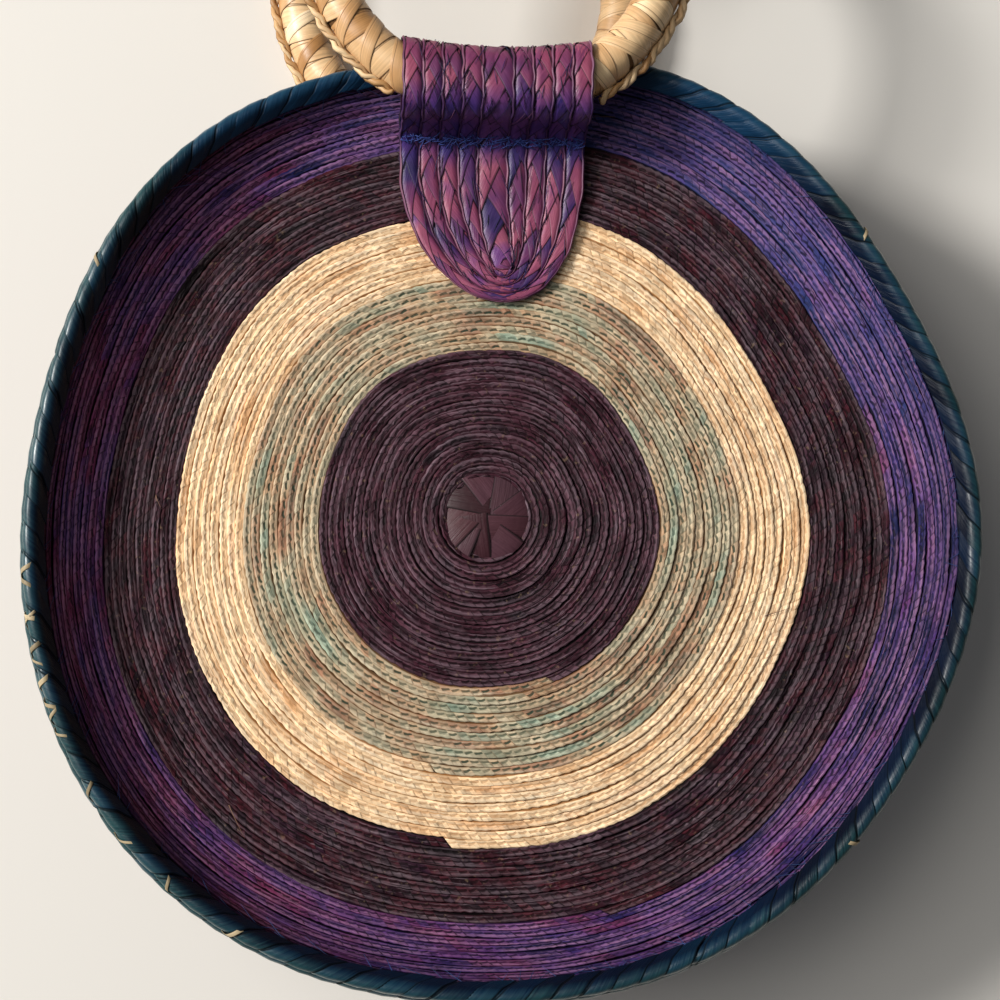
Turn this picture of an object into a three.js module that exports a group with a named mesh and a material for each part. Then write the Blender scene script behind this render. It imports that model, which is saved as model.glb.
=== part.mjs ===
import * as THREE from 'three';

// Round straw beach bag, lying on its back. Millimetres, +Z out of the open front face,
// +Y toward the handles, origin in the middle of the flat patch that the back rests on.

const DEG = Math.PI / 180;
const ROUND_STEPS = 60;          // facets around the bag
const WALL = 3;                  // thickness of a coiled straw panel
const FIT = 0.4;                 // clearance between separate pieces

// outline of both panels: a circle with a few hand-made lobes
const LOBES = [
  // lobes round the bag, height in mm, angle of one peak in degrees
  { count: 2, height: 2, peak: 78 },
  { count: 3, height: 2.1, peak: 102 },
  { count: 4, height: 0.9, peak: 54 },
  { count: 5, height: 1.9, peak: 68 },
  { count: 6, height: 1.1, peak: 64 },
];

// the mouth: the stretch at the top where the two rims stand apart
const MOUTH_AT = 90;             // degrees, middle of the mouth
const MOUTH_HALF = 55;           // degrees, from its middle to where the lacing starts

// front panel: a shallow tray, flat in the middle and turned up all round
const FRONT_FLAT_Z = 64.5;       // middle of the wall above the floor
const FRONT_TURN_R = 45;         // radius of the turned-up edge
const FRONT_SLOPE = 60;          // degrees at the rim where it is laced
const FRONT_SLOPE_MOUTH = 38;    // degrees at the rim in the mouth
const FRONT_EDGE = 195.4;        // plan radius of the wall's edge where it is laced
const FRONT_EDGE_MOUTH = 194.5;  // the same in the mouth
const FRONT_FLAT_STEPS = [14, 60, 110];
const FRONT_TURN_STEPS = 7;

// back panel: a rounded bowl with a flat patch in the middle
const BACK_FLAT_R = 60;          // flat patch that lies on the floor
const BACK_RISE = 76.5;          // how far the rim stands above the flat patch where it is laced
const BACK_EDGE = 197.6;         // plan radius of the wall's edge
const BACK_LIP_RISE = 31;        // the same in the mouth
const BACK_FACE_DROP = 2;        // from the wall's middle straight down to its outer face under the tab
const BACK_FLAT_STEPS = [14];
const BACK_RISE_STEPS = [0, 0.14, 0.28, 0.41, 0.53, 0.64, 0.74, 0.83, 0.9, 0.95, 1];

// binding: a plaited strip folded over each panel's edge
const BINDING_WALL = 1.2;
const BINDING_FOLD = 9;          // how far each half reaches in from the edge
const BINDING_GRIP = 0.4;        // clearance to the panel inside the fold
const BINDING_NOSE = [-90, -30, 30, 90];

// handles: wrapped rings with a braid along the outer side
const RING_R = 74;
const TUBE_R = 9.5;
const RING_Y = 247;
const RING_STEPS = 48;
const TUBE_STEPS = 12;
const BRAID_R = 2.4;
const BRAID_SIDES = 8;
const BRAID_FREE = 31;           // degrees each side of the tab that carry no braid
const FRONT_RING = { side: 'front', out: 1, x: -4, z: 91.5, tilt: 0 };
const BACK_RING = { side: 'back', out: -1, x: -13.5, z: 11.4, tilt: -1.3 };

// tabs: a plaited strap folded round the ring, both ends sewn to the panel
const TAB_WALL = 2.4;
const TAB_HALF_WIDTH = 39.5;
const TAB_TIP_Y = 92;
const TAB_TAPER_Y = 146;         // the free leaf narrows to its tip from here
const TAB_TIP_HALF = 9;
const TAB_ROUNDNESS = 2.3;       // how full the rounded end is
const TAB_ACROSS = 6;
const TAB_ALONG = 36;
const TAB_LIFT = 2.1;            // middle of the strap over the panel's face
const TAB_COURSE = [
  // y along the bag, then lift over the panel's face, or offset out from the ring's middle
  { y: TAB_TIP_Y, lift: TAB_LIFT },
  { y: 108, lift: TAB_LIFT },
  { y: 122, lift: TAB_LIFT },
  { y: 136, lift: TAB_LIFT + 0.4 },
  { y: 147, lift: TAB_LIFT + 2.8 },
  { y: 154, lift: TAB_LIFT + 3.8 },
  { y: 158.5, front: -16, back: -2.5 },
  { y: 161, front: -7, back: 1.5 },
  { y: 161.8, front: 3, back: 5 },
  { y: 166.5, front: 9.9, back: 9.9 },
  { y: 174, front: 11.5, back: 11.5 },
  { y: 187, front: 11.4, back: 11.4 },
  { y: 194.6, front: 8, back: 8 },
  { y: 197.4, front: 0, back: 0 },
  { y: 194.6, front: -8, back: -8 },
  { y: 187, front: -11.4, back: -11.4 },
  { y: 178, front: -13.2, back: -13 },
  { y: 170, front: -17.5, back: -13 },
  { y: 163, front: -23, back: -11 },
  { y: 157.5, lift: TAB_LIFT + 0.2 },
  { y: 152, lift: TAB_LIFT },
];

const mix = (a, b, t) => a + (b - a) * t;
const smooth = (t) => t * t * (3 - 2 * t);

function mouthWeight(angle) {
  const away = Math.abs(((angle / DEG - MOUTH_AT + 540) % 360) - 180);
  if (away >= MOUTH_HALF) return 0;
  return 0.5 + 0.5 * Math.cos((Math.PI * away) / MOUTH_HALF);
}

function lobe(angle) {
  let out = 0;
  for (const { count, height, peak } of LOBES) out += height * Math.cos(count * (angle - peak * DEG));
  return out;
}

// One radial section of the front wall's middle line: points and outward directions.
function frontTurn(angle) {
  const open = mouthWeight(angle);
  const slope = mix(FRONT_SLOPE, FRONT_SLOPE_MOUTH, open) * DEG;
  const edge = mix(FRONT_EDGE, FRONT_EDGE_MOUTH, open) + lobe(angle);
  return { slope, start: edge - FRONT_TURN_R * Math.sin(slope) };
}

function frontHeight(r, angle) {
  const { slope, start } = frontTurn(angle);
  const turn = Math.asin(Math.min(Math.max((r - start) / FRONT_TURN_R, 0), Math.sin(slope)));
  return FRONT_FLAT_Z + FRONT_TURN_R * (1 - Math.cos(turn));
}

function frontLine(angle) {
  const { slope, start } = frontTurn(angle);
  const line = FRONT_FLAT_STEPS.map((r) => ({ r, z: FRONT_FLAT_Z, slope: 0 }));
  for (let i = 0; i <= FRONT_TURN_STEPS; i++) {
    const turn = (slope * i) / FRONT_TURN_STEPS;
    const r = start + FRONT_TURN_R * Math.sin(turn);
    line.push({ r, z: FRONT_FLAT_Z + FRONT_TURN_R * (1 - Math.cos(turn)), slope: turn });
  }
  return line;
}

function backHeight(r, angle) {
  const span = BACK_EDGE + lobe(angle) - BACK_FLAT_R;
  const run = Math.max(r - BACK_FLAT_R, 0);
  const bowlR = (span * span + BACK_RISE * BACK_RISE) / (2 * BACK_RISE);
  const bowl = bowlR - Math.sqrt(bowlR * bowlR - run * run);
  const lip = BACK_LIP_RISE * smooth(Math.min(run / span, 1));
  return WALL / 2 + mix(bowl, lip, mouthWeight(angle));
}

function backLine(angle) {
  const edge = BACK_EDGE + lobe(angle);
  const radii = [...BACK_FLAT_STEPS];
  for (const t of BACK_RISE_STEPS) radii.push(mix(BACK_FLAT_R, edge, t));
  const probe = 0.5;
  return radii.map((r) => {
    const inner = Math.min(r, edge - probe);
    const rise = backHeight(inner + probe, angle) - backHeight(inner - probe, angle);
    return { r, z: backHeight(r, angle), slope: Math.atan2(rise, 2 * probe) };
  });
}

function shifted(point, along, across) {
  const c = Math.cos(point.slope);
  const s = Math.sin(point.slope);
  return [point.r + along * c - across * s, point.z + along * s + across * c];
}

function panelSection(line) {
  const upper = line.map((point) => shifted(point, 0, WALL / 2));
  const lower = line.map((point) => shifted(point, 0, -WALL / 2));
  return [...lower, ...upper.reverse()];
}

function bindingSection(line) {
  const edge = line[line.length - 1];
  const inside = WALL / 2 + BINDING_GRIP;
  const outside = inside + BINDING_WALL;
  const at = (back, across) => shifted(bendBack(line, back), 0, across);
  const nose = BINDING_NOSE.map((turn) => {
    const along = BINDING_GRIP + (outside - BINDING_WALL / 2) * Math.cos(turn * DEG);
    return shifted(edge, along, outside * Math.sin(turn * DEG));
  });
  const half = BINDING_FOLD / 2;
  return [
    at(BINDING_FOLD, -inside),
    at(BINDING_FOLD, -outside),
    at(half, -outside),
    ...nose,
    at(half, outside),
    at(BINDING_FOLD, outside),
    at(BINDING_FOLD, inside),
    at(half, inside),
    shifted(edge, BINDING_GRIP, inside),
    shifted(edge, BINDING_GRIP, -inside),
    at(half, -inside),
  ];
}

// Point of a section line that lies a given distance in from its edge.
function bendBack(line, back) {
  let left = back;
  let i = line.length - 1;
  while (i > 0) {
    const step = Math.hypot(line[i].r - line[i - 1].r, line[i].z - line[i - 1].z);
    if (left <= step) {
      const t = left / step;
      const [a, b] = [line[i], line[i - 1]];
      return { r: mix(a.r, b.r, t), z: mix(a.z, b.z, t), slope: mix(a.slope, b.slope, t) };
    }
    left -= step;
    i -= 1;
  }
  return line[0];
}

function outward(geometry) {
  const p = geometry.getAttribute('position');
  const index = geometry.getIndex().array;
  const [a, b, c] = [new THREE.Vector3(), new THREE.Vector3(), new THREE.Vector3()];
  let volume = 0;
  for (let i = 0; i < index.length; i += 3) {
    a.fromBufferAttribute(p, index[i]);
    b.fromBufferAttribute(p, index[i + 1]);
    c.fromBufferAttribute(p, index[i + 2]);
    volume += a.dot(b.cross(c));
  }
  if (volume < 0) {
    for (let i = 0; i < index.length; i += 3) [index[i], index[i + 1]] = [index[i + 1], index[i]];
  }
  geometry.computeVertexNormals();
  return geometry;
}

function surface(position, index) {
  const geometry = new THREE.BufferGeometry();
  geometry.setAttribute('position', new THREE.Float32BufferAttribute(position, 3));
  geometry.setIndex(index);
  return outward(geometry);
}

// A loop of [r, z] points carried round the bag; poles close a section that ends near the axis.
function roundSolid(sectionAt, poles) {
  const position = [];
  const index = [];
  const pattern = sectionAt(0);
  const rows = pattern.length;
  for (let j = 0; j < ROUND_STEPS; j++) {
    const angle = (j * 2 * Math.PI) / ROUND_STEPS;
    for (const [r, z] of sectionAt(angle)) position.push(r * Math.cos(angle), r * Math.sin(angle), z);
  }
  for (let j = 0; j < ROUND_STEPS; j++) {
    const here = j * rows;
    const next = ((j + 1) % ROUND_STEPS) * rows;
    const last = poles ? rows - 1 : rows;
    for (let i = 0; i < last; i++) {
      const k = (i + 1) % rows;
      const rising = pattern[k][0] > pattern[i][0];
      index.push(here + i, next + i, rising ? next + k : here + k);
      index.push(rising ? here + i : next + i, next + k, here + k);
    }
    if (poles) {
      const base = ROUND_STEPS * rows;
      index.push(base, next, here);
      index.push(base + 1, here + rows - 1, next + rows - 1);
    }
  }
  if (poles) position.push(0, 0, poles[0], 0, 0, poles[1]);
  return surface(position, index);
}

// A wall of even thickness on both sides of a grid of points.
function sheetSolid(pointAt, along, across, thickness) {
  const position = [];
  const index = [];
  const columns = across + 1;
  const count = (along + 1) * columns;
  const grid = (i, k) => pointAt(Math.min(Math.max(i, 0), along), Math.min(Math.max(k, 0), across));
  for (const side of [0.5, -0.5]) {
    for (let i = 0; i <= along; i++) {
      for (let k = 0; k <= across; k++) {
        const run = grid(i + 1, k).sub(grid(i - 1, k));
        const span = grid(i, k + 1).sub(grid(i, k - 1));
        const normal = span.cross(run).normalize();
        const point = grid(i, k).addScaledVector(normal, side * thickness);
        position.push(point.x, point.y, point.z);
      }
    }
  }
  for (let i = 0; i < along; i++) {
    for (let k = 0; k < across; k++) {
      const a = i * columns + k;
      const b = a + 1;
      const c = a + columns;
      const d = c + 1;
      index.push(a, b, d, a, d, c);
      index.push(count + a, count + d, count + b, count + a, count + c, count + d);
    }
  }
  const edge = (to, from) => index.push(from, count + from, count + to, from, count + to, to);
  for (let k = 0; k < across; k++) {
    edge(k + 1, k);
    edge(along * columns + k, along * columns + k + 1);
  }
  for (let i = 0; i < along; i++) {
    edge(i * columns, (i + 1) * columns);
    edge((i + 1) * columns + across, i * columns + across);
  }
  return surface(position, index);
}

function tabHalfWidth(y, free) {
  if (!free || y >= TAB_TAPER_Y) return TAB_HALF_WIDTH;
  const t = (TAB_TAPER_Y - y) / (TAB_TAPER_Y - TAB_TIP_Y);
  const round = Math.pow(Math.max(1 - Math.pow(t, TAB_ROUNDNESS), 0), 1 / TAB_ROUNDNESS);
  return mix(TAB_TIP_HALF, TAB_HALF_WIDTH, round);
}

// face gives the height of the panel's outer face under the tab.
function tabGeometry(ring, face) {
  const polar = (x, y) => ({ r: Math.hypot(x, y), angle: Math.atan2(y, x) });
  const rollZ = ring.z - RING_R * Math.sin(ring.tilt * DEG);
  const stations = TAB_COURSE.map((row) => {
    const onFace = row.lift !== undefined;
    const faceZ = face(polar(ring.x, row.y));
    const z = onFace ? faceZ + ring.out * row.lift : rollZ + ring.out * row[ring.side];
    return { y: row.y, z, follow: onFace ? 1 : 0 };
  });
  const path = new THREE.CatmullRomCurve3(
    stations.map(({ y, z, follow }) => new THREE.Vector3(follow, y, z)),
    false,
    'centripetal',
  );
  const points = path.getPoints(TAB_ALONG);
  const widest = points.reduce((best, p, i) => (p.y > points[best].y ? i : best), 0);
  const pointAt = (i, k) => {
    const { x: follow, y, z } = points[i];
    const x = ring.x + (k / TAB_ACROSS - 0.5) * 2 * tabHalfWidth(y, i < widest);
    const dish = face(polar(x, y)) - face(polar(ring.x, y));
    return new THREE.Vector3(x, y, z + follow * dish);
  };
  return sheetSolid(pointAt, TAB_ALONG, TAB_ACROSS, TAB_WALL);
}

class RingArc extends THREE.Curve {
  constructor(radius, from, to) {
    super();
    Object.assign(this, { radius, from, to });
  }

  getPoint(t, target = new THREE.Vector3()) {
    const angle = mix(this.from, this.to, t) * DEG;
    return target.set(this.radius * Math.cos(angle), this.radius * Math.sin(angle), 0);
  }
}

function braidGeometry() {
  const path = new RingArc(RING_R + TUBE_R + FIT + BRAID_R, -90 + BRAID_FREE, 270 - BRAID_FREE);
  const section = new THREE.Shape();
  for (let i = 0; i < BRAID_SIDES; i++) {
    const turn = (i * 2 * Math.PI) / BRAID_SIDES;
    const [x, y] = [BRAID_R * Math.cos(turn), BRAID_R * Math.sin(turn)];
    if (i === 0) section.moveTo(x, y);
    else section.lineTo(x, y);
  }
  return new THREE.ExtrudeGeometry(section, { steps: RING_STEPS, extrudePath: path, bevelEnabled: false });
}

const bag = new THREE.Group();
bag.name = 'straw_beach_bag';

function add(name, geometry, look) {
  const mesh = new THREE.Mesh(geometry, new THREE.MeshStandardMaterial(look));
  mesh.name = name;
  mesh.material.name = name;
  bag.add(mesh);
  return mesh;
}

function onRing(mesh, ring) {
  mesh.position.set(ring.x, RING_Y, ring.z);
  mesh.rotation.x = ring.tilt * DEG;
}

const halfWall = WALL / 2;
add(
  'front_panel',
  roundSolid((angle) => panelSection(frontLine(angle)), [FRONT_FLAT_Z - halfWall, FRONT_FLAT_Z + halfWall]),
  { color: 0xd9b384, roughness: 0.75, metalness: 0 },
);
add(
  'back_panel',
  roundSolid((angle) => panelSection(backLine(angle)), [0, WALL]),
  { color: 0x4a3440, roughness: 0.75, metalness: 0 },
);
add(
  'front_binding',
  roundSolid((angle) => bindingSection(frontLine(angle)), null),
  { color: 0x17435c, roughness: 0.5, metalness: 0 },
);
add(
  'back_binding',
  roundSolid((angle) => bindingSection(backLine(angle)), null),
  { color: 0x1f5566, roughness: 0.5, metalness: 0 },
);

const frontFace = ({ r, angle }) => {
  const { slope, start } = frontTurn(angle);
  const turn = Math.asin(Math.min(Math.max((r - start) / FRONT_TURN_R, 0), Math.sin(slope)));
  return frontHeight(r, angle) + halfWall / Math.cos(turn);
};
const backFace = ({ r, angle }) => backHeight(r, angle) - BACK_FACE_DROP;
add('front_tab', tabGeometry(FRONT_RING, frontFace), { color: 0x6b2f63, roughness: 0.55, metalness: 0 });
add('back_tab', tabGeometry(BACK_RING, backFace), { color: 0x5a3368, roughness: 0.55, metalness: 0 });

const tube = () => new THREE.TorusGeometry(RING_R, TUBE_R, TUBE_STEPS, RING_STEPS);
const straw = { color: 0xcfa468, roughness: 0.5, metalness: 0 };
onRing(add('front_handle', tube(), straw), FRONT_RING);
onRing(add('back_handle', tube(), straw), BACK_RING);
onRing(add('front_handle_braid', braidGeometry(), straw), FRONT_RING);
onRing(add('back_handle_braid', braidGeometry(), straw), BACK_RING);

export default bag;
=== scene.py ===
import math

import bmesh
import bpy
import numpy as np
from mathutils import Matrix, Vector


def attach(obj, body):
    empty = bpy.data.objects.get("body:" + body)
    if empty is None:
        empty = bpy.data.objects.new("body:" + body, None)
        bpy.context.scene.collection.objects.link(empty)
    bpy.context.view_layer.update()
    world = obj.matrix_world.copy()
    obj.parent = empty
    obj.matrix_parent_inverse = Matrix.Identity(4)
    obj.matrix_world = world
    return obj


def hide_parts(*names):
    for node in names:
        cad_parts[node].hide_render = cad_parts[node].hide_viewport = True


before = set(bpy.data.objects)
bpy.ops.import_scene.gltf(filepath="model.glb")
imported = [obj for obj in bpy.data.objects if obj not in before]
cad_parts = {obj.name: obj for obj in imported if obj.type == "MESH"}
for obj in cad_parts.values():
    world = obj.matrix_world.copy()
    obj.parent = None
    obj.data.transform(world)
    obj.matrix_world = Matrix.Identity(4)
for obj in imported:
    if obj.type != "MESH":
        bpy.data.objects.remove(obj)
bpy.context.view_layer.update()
print("frame loaded:", len(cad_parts), "nodes")

# driving sizes of the bag in metres and degrees, the same as the solids have
bag = dict(
    wall=0.003,
    lobes=(               # count round the rim, height, angle of a peak
        (2, 0.0020, 78), (3, 0.0021, 102), (4, 0.0009, 54), (5, 0.0019, 68), (6, 0.0011, 64)),
    mouthAt=90, mouthHalf=55,
    frontFlat=0.0645, frontTurn=0.045, frontSlope=60, frontSlopeMouth=38,
    frontEdge=0.1954, frontEdgeMouth=0.1945,
    backFlat=0.060, backRise=0.0765, backEdge=0.1976, backLip=0.031,
    backGap=0.0004,       # between the back panel and what is sewn on it
    rim=0.195,            # radius that lengths along the rim are turned into angles with
    sectors=180,          # steps round the bowl's table of lengths
)


# the two panels' curved walls, by angle and by share of the way out from the middle
def mouthWeight(angle):
    away = np.abs((np.degrees(angle) - bag["mouthAt"] + 540) % 360 - 180)
    return np.where(away < bag["mouthHalf"], 0.5 + 0.5 * np.cos(np.pi * away / bag["mouthHalf"]), 0)


def lobeAt(angle):
    return sum(height * np.cos(count * (angle - math.radians(peak))) for count, height, peak in bag["lobes"])


def frontEdge(angle):
    weight = mouthWeight(angle)
    slope = np.radians(bag["frontSlope"] + (bag["frontSlopeMouth"] - bag["frontSlope"]) * weight)
    edge = bag["frontEdge"] + (bag["frontEdgeMouth"] - bag["frontEdge"]) * weight + lobeAt(angle)
    return slope, edge - bag["frontTurn"] * np.sin(slope)


def frontSurface(share, angle):
    slope, start = frontEdge(angle)
    length = share * (start + bag["frontTurn"] * slope)
    turn = np.maximum(length - start, 0) / bag["frontTurn"]
    r = np.minimum(length, start) + bag["frontTurn"] * np.sin(turn)
    z = bag["frontFlat"] + bag["frontTurn"] * (1 - np.cos(turn))
    return r, z, turn


def frontFace(x, y):
    r, angle = np.hypot(x, y), np.arctan2(y, x)
    slope, start = frontEdge(angle)
    turn = np.arcsin(np.clip((r - start) / bag["frontTurn"], 0, np.sin(slope)))
    return bag["frontFlat"] + bag["frontTurn"] * (1 - np.cos(turn)) + bag["wall"] / 2 / np.cos(turn)


def backHeight(r, angle):
    span = bag["backEdge"] + lobeAt(angle) - bag["backFlat"]
    run = np.clip(r - bag["backFlat"], 0, span)
    bowlR = (span ** 2 + bag["backRise"] ** 2) / (2 * bag["backRise"])
    bowl = bowlR - np.sqrt(bowlR ** 2 - run ** 2)
    t = run / span
    lip = bag["backLip"] * t * t * (3 - 2 * t)
    return bag["wall"] / 2 + bowl + (lip - bowl) * mouthWeight(angle)


def backFace(x, y):
    return backHeight(np.hypot(x, y), np.arctan2(y, x)) - bag["wall"] / 2 - bag["backGap"]


def backTable():
    # length along the bowl has no short formula, so it is summed over small steps of the radius
    angles = np.linspace(0, 2 * np.pi, bag["sectors"] + 1)
    steps = np.linspace(0, 1, 121)
    r = steps[None, :] * (bag["backEdge"] + lobeAt(angles))[:, None]
    z = backHeight(r, angles[:, None])
    along = np.hypot(np.diff(r), np.diff(z)).cumsum(axis=1)
    return steps, np.concatenate((np.zeros((len(angles), 1)), along / along[:, -1:]), axis=1)


backSteps, backAlong = backTable()


def backSurface(share, angle):
    share, angle = np.broadcast_arrays(share, angle)
    place = (angle % (2 * np.pi)) / (2 * np.pi) * bag["sectors"]
    low = np.minimum(place.astype(int), bag["sectors"] - 1)
    picked = np.empty(share.shape)
    for i in np.unique(low):
        here = low == i
        a = np.interp(share[here], backAlong[i], backSteps)
        b = np.interp(share[here], backAlong[i + 1], backSteps)
        picked[here] = a + (b - a) * (place - low)[here]
    r = picked * (bag["backEdge"] + lobeAt(angle))
    z = backHeight(r, angle)
    slope = np.arctan2(z - backHeight(r - 0.0005, angle), 0.0005)
    return r, z, slope


def onPanel(surface, share, angle, lift):
    r, z, slope = surface(share, angle)
    r = r - lift * np.sin(slope)
    return np.stack((r * np.cos(angle), r * np.sin(angle), z + lift * np.cos(slope)), axis=-1)


# mesh helpers: grids from bmesh, placed point by point
def gridMesh(name, along, across):
    bm = bmesh.new()
    bmesh.ops.create_grid(bm, x_segments=along, y_segments=across, size=0.5)
    mesh = bpy.data.meshes.new(name)
    bm.to_mesh(mesh)
    bm.free()
    flat = np.empty(len(mesh.vertices) * 3)
    mesh.vertices.foreach_get("co", flat)
    flat = flat.reshape(-1, 3) + 0.5
    return mesh, flat[:, 0], flat[:, 1]


def manyGrids(name, count, along, across):
    one, u, v = gridMesh(name, along, across)
    bm = bmesh.new()
    for i in range(count):
        bm.from_mesh(one)
    many = bpy.data.meshes.new(name)
    bm.to_mesh(many)
    bm.free()
    bpy.data.meshes.remove(one)
    return many, np.repeat(np.arange(count), len(u)), np.tile(u, count), np.tile(v, count)


def placeMesh(mesh, points, u, v):
    mesh.vertices.foreach_set("co", np.ascontiguousarray(points, dtype=np.float32).ravel())
    corner = np.empty(len(mesh.loops), dtype=np.int32)
    mesh.loops.foreach_get("vertex_index", corner)
    layer = mesh.uv_layers.new(name="strand")
    layer.data.foreach_set("uv", np.stack((u[corner], v[corner]), axis=-1).astype(np.float32).ravel())
    return mesh


def inStrand(number, u):
    return number + 0.02 + 0.96 * u  # clear of the next strand's number


def arch(v):
    return 1 - (2 * v - 1) ** 2


def waves(table, at):
    return sum(size * np.sin(at * rate + start) for size, rate, start in table)


def unit(vectors):
    return vectors / np.maximum(np.linalg.norm(vectors, axis=-1, keepdims=True), 1e-12)


def tubeMesh(name, paths, thick, sides):
    # paths is strands x points x 3, thick the radius at each of those points
    count, length = paths.shape[:2]
    mesh, number, u, v = manyGrids(name, count, length - 1, sides)
    place = np.rint(u * (length - 1)).astype(int)
    run = unit(np.gradient(paths, axis=1))
    side = unit(np.cross(run, (0.13, 0.21, 0.97)))
    up = np.cross(side, run)
    turn = 2 * np.pi * v[:, None]
    ring = np.cos(turn) * side[number, place] + np.sin(turn) * up[number, place]
    points = paths[number, place] + thick[number, place][:, None] * ring
    return placeMesh(mesh, points, inStrand(number, u), v)


def finishPiece(name, grid, material, node=None, closed=False, flip=False, thick=0.0, weld=0.0):
    bm = bmesh.new()
    bm.from_mesh(grid)
    bpy.data.meshes.remove(grid)
    if weld:
        bmesh.ops.remove_doubles(bm, verts=bm.verts, dist=weld)
    if closed:
        bmesh.ops.holes_fill(bm, edges=[e for e in bm.edges if e.is_boundary], sides=0)
        bmesh.ops.recalc_face_normals(bm, faces=bm.faces)
    if flip:
        bmesh.ops.reverse_faces(bm, faces=bm.faces)
    for face in bm.faces:
        face.smooth = True
    mesh = bpy.data.meshes.new(name)
    bm.to_mesh(mesh)
    bm.free()
    piece = bpy.data.objects.new(name, mesh)
    bpy.context.scene.collection.objects.link(piece)
    mesh.materials.append(material)
    if thick:
        solid = piece.modifiers.new("thickness", "SOLIDIFY")
        solid.thickness = thick
        solid.offset = -1
        piece.modifiers.new("flat faces", "WEIGHTED_NORMAL").weight = 90
    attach(piece, "root")
    if node:
        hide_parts(node)
    print("piece", name, len(mesh.polygons), "faces")


def finishTubes(name, paths, thick, sides, material, node=None):
    finishPiece(name, tubeMesh(name, paths, thick, sides), material, node, closed=True, weld=1e-7)


# node helpers, and the shader groups that the straw finishes share
class Nodes:
    def __init__(self, tree):
        self.tree = tree

    def add(self, kind, inputs=(), **values):
        node = self.tree.nodes.new("ShaderNode" + kind)
        for key, value in values.items():
            setattr(node, key, value)
        for key, value in dict(inputs).items():
            if isinstance(value, bpy.types.NodeSocket):
                self.tree.links.new(value, node.inputs[key])
            else:
                node.inputs[key].default_value = value
        return node

    def math(self, operation, a, b=0.0, clamp=False):
        return self.add("Math", {0: a, 1: b}, operation=operation, use_clamp=clamp).outputs[0]

    def plus(self, a, b):
        return self.math("ADD", a, b)

    def minus(self, a, b, clamp=False):
        return self.math("SUBTRACT", a, b, clamp)

    def times(self, a, b, clamp=False):
        return self.math("MULTIPLY", a, b, clamp)

    def away(self, value, middle, reach):
        return self.math("DIVIDE", self.math("ABSOLUTE", self.minus(value, middle)), reach)

    def rise(self, a, b, steep):
        return self.times(self.minus(a, b), steep, clamp=True)

    def mix(self, amount, a, b, blend="MIX"):
        inputs = {0: amount, 6: a, 7: b}
        return self.add("Mix", inputs, data_type="RGBA", blend_type=blend).outputs[2]

    def chance(self, number):
        return self.add("TexWhiteNoise", {"W": number}, noise_dimensions="1D").outputs["Value"]

    def sway(self, number, detail):
        inputs = {"W": number, "Scale": 1.0, "Detail": detail}
        return self.add("TexNoise", inputs, noise_dimensions="1D").outputs["Fac"]

    def cloud(self, place, scale, detail, roughness=0.5):
        inputs = {"Vector": place, "Scale": scale, "Detail": detail, "Roughness": roughness}
        return self.add("TexNoise", inputs).outputs["Fac"]

    def vector(self, x, y, z):
        return self.add("CombineXYZ", {0: x, 1: y, 2: z}).outputs[0]

    def axis(self, vector, index):
        return self.add("SeparateXYZ", {0: vector}).outputs[index]

    def place(self):
        return self.add("TexCoord").outputs["Object"]


def hexColour(text):
    parts = [int(text[i:i + 2], 16) / 255 for i in (0, 2, 4)]
    linear = [c / 12.92 if c <= 0.04045 else ((c + 0.055) / 1.055) ** 2.4 for c in parts]
    return (*linear, 1)


def newGroup(name, **inputs):
    tree = bpy.data.node_groups.new(name, "ShaderNodeTree")
    for label, value in inputs.items():
        socket = tree.interface.new_socket(name=label, in_out="INPUT", socket_type="NodeSocketFloat")
        socket.default_value = value
    return Nodes(tree), tree.nodes.new("NodeGroupInput").outputs


def endGroup(n, **outputs):
    for label in outputs:
        n.tree.interface.new_socket(name=label, in_out="OUTPUT", socket_type="NodeSocketFloat")
    result = n.tree.nodes.new("NodeGroupOutput")
    for label, value in outputs.items():
        n.tree.links.new(value, result.inputs[label])
    return n.tree


def makeLeafGroup():
    # one strand of leaf: its number picks the tint, fibres run along it, its edges are thin and get lines of
    # painted shade
    n, given = newGroup("leafStrand", Number=0, Along=0, Across=0, Fibres=9, Lap=0, Line=0.05)
    number, along, across, line = (given[label] for label in ("Number", "Along", "Across", "Line"))
    spot = n.vector(n.times(across, given["Fibres"]), n.times(along, 1.3), n.times(number, 3.7))
    streak = n.cloud(spot, 1.0, 3.0, 0.6)
    # the next strand lies over the first part of the width; painted shade draws a dark line there and at the free
    # side
    near = n.math("MINIMUM", n.away(across, given["Lap"], line), n.away(1.0, across, line))
    edge = n.minus(1.0, near, clamp=True)
    height = n.minus(n.times(streak, 0.6), n.times(edge, 0.5))
    patch = n.sway(n.times(number, 0.09), 1.0)
    return endGroup(n, Tint=n.chance(number), Patch=patch, Streak=streak, Edge=edge, Height=height)


def makeDyeGroup():
    # cloudy fading and small marks over the whole piece, read from where the surface is
    n, given = newGroup("fadedDye", Size=40, Fine=420)
    place = n.place()
    return endGroup(n, Fade=n.cloud(place, given["Size"], 3.0), Speck=n.cloud(place, given["Fine"], 2.0))


plaitLook = dict(         # places and reaches across are shares of the row's width
    toneRun=1.95, toneStep=0.26, toneLess=0.60,          # change of tone along the row and from strand to strand
    furrow=0.335, furrowSlant=0.10, furrowSway=0.10, dashReach=0.075,
    ridgeHighlights=((0.215, 0.06, 0.45), (0.49, 0.15, 1.0)),     # place, reach, share
    gapReach=0.15, gapFrom=0.17, gapTo=0.60,
    tuckTo=0.15, tuckSway=0.08, sharp=12.0, tuckSharp=26.0,
)


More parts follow.
